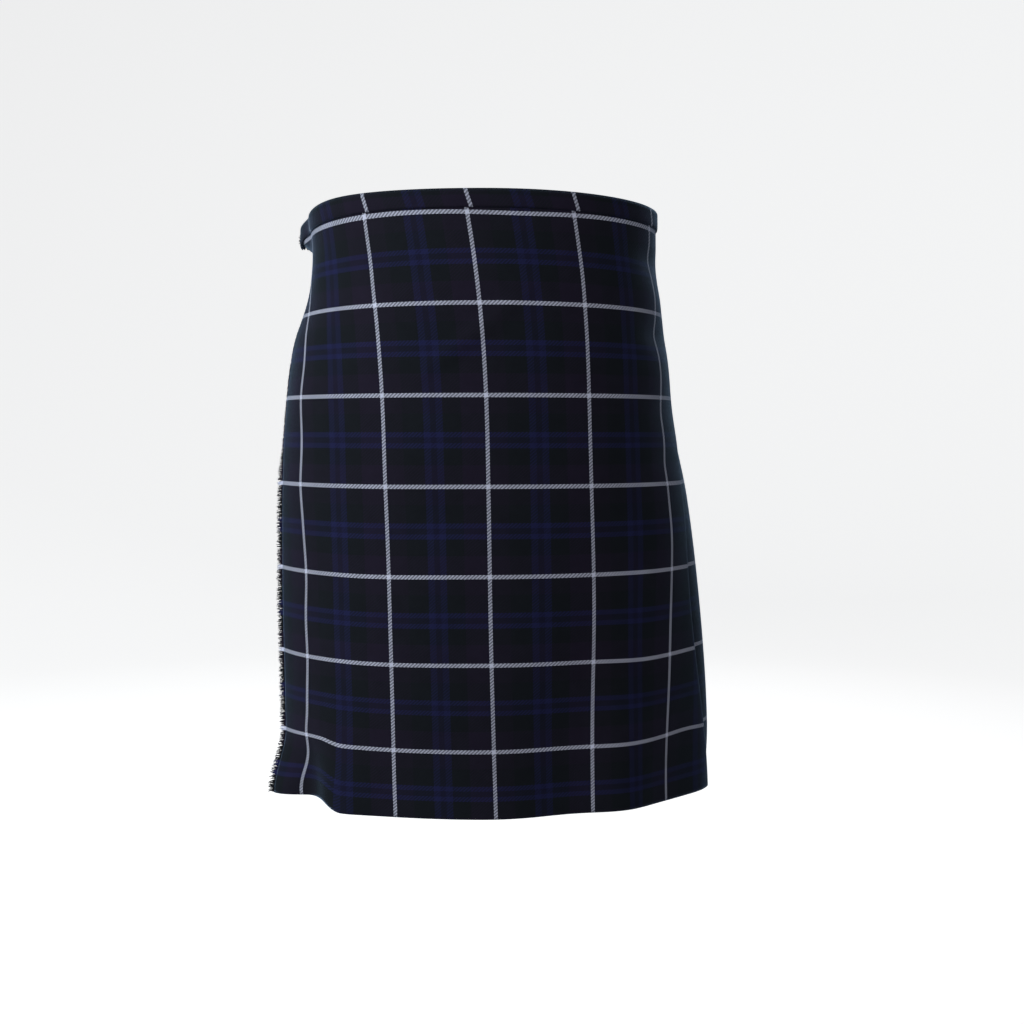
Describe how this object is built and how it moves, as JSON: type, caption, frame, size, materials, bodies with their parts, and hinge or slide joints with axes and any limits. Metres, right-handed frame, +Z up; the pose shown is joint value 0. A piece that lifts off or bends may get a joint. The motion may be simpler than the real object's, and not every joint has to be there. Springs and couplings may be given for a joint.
{
  "type": "scottish kilt",
  "caption": "Knee-length wrapped tartan kilt, held open in its worn shape: flat fringed front apron, knife pleats round the back, bound waistband, strap and buckle at each hip",
  "frame": {"origin": "the middle of the waist, level with the top edge of the waistband at the front", "axes": "+Z up out of the waist, -Y the front (the middle of the over apron), +X the wearer's left"},
  "size_m": [0.4676, 0.3129, 0.6102],
  "materials": {
    "tartan": "matt twill tartan: black, navy and dark green with blue pairs of lines and white stripes",
    "yarn": "loose weft yarns of the same cloth, matt",
    "leather": "black grained leather, satin, stitched edges",
    "nickel": "bright nickel-plated steel wire"
  },
  "bodies": {
    "root": {"over_apron": "tartan", "under_apron": "tartan", "pleat_01": "tartan", "pleat_02": "tartan", "pleat_03": "tartan", "pleat_04": "tartan", "pleat_05": "tartan", "pleat_06": "tartan", "pleat_07": "tartan", "pleat_08": "tartan", "pleat_09": "tartan", "pleat_10": "tartan", "pleat_11": "tartan", "pleat_12": "tartan", "pleat_13": "tartan", "pleat_14": "tartan", "pleat_15": "tartan", "pleat_16": "tartan", "pleat_17": "tartan", "pleat_18": "tartan", "waistband": "tartan", "fringe": "yarn", "strap_right_hip": "leather", "chape_right_hip": "leather", "keeper_right_hip": "leather", "buckle_right_hip": "nickel", "prong_right_hip": "nickel", "strap_left_hip": "leather", "chape_left_hip": "leather", "keeper_left_hip": "leather", "buckle_left_hip": "nickel", "prong_left_hip": "nickel"}
  },
  "joints": []
}
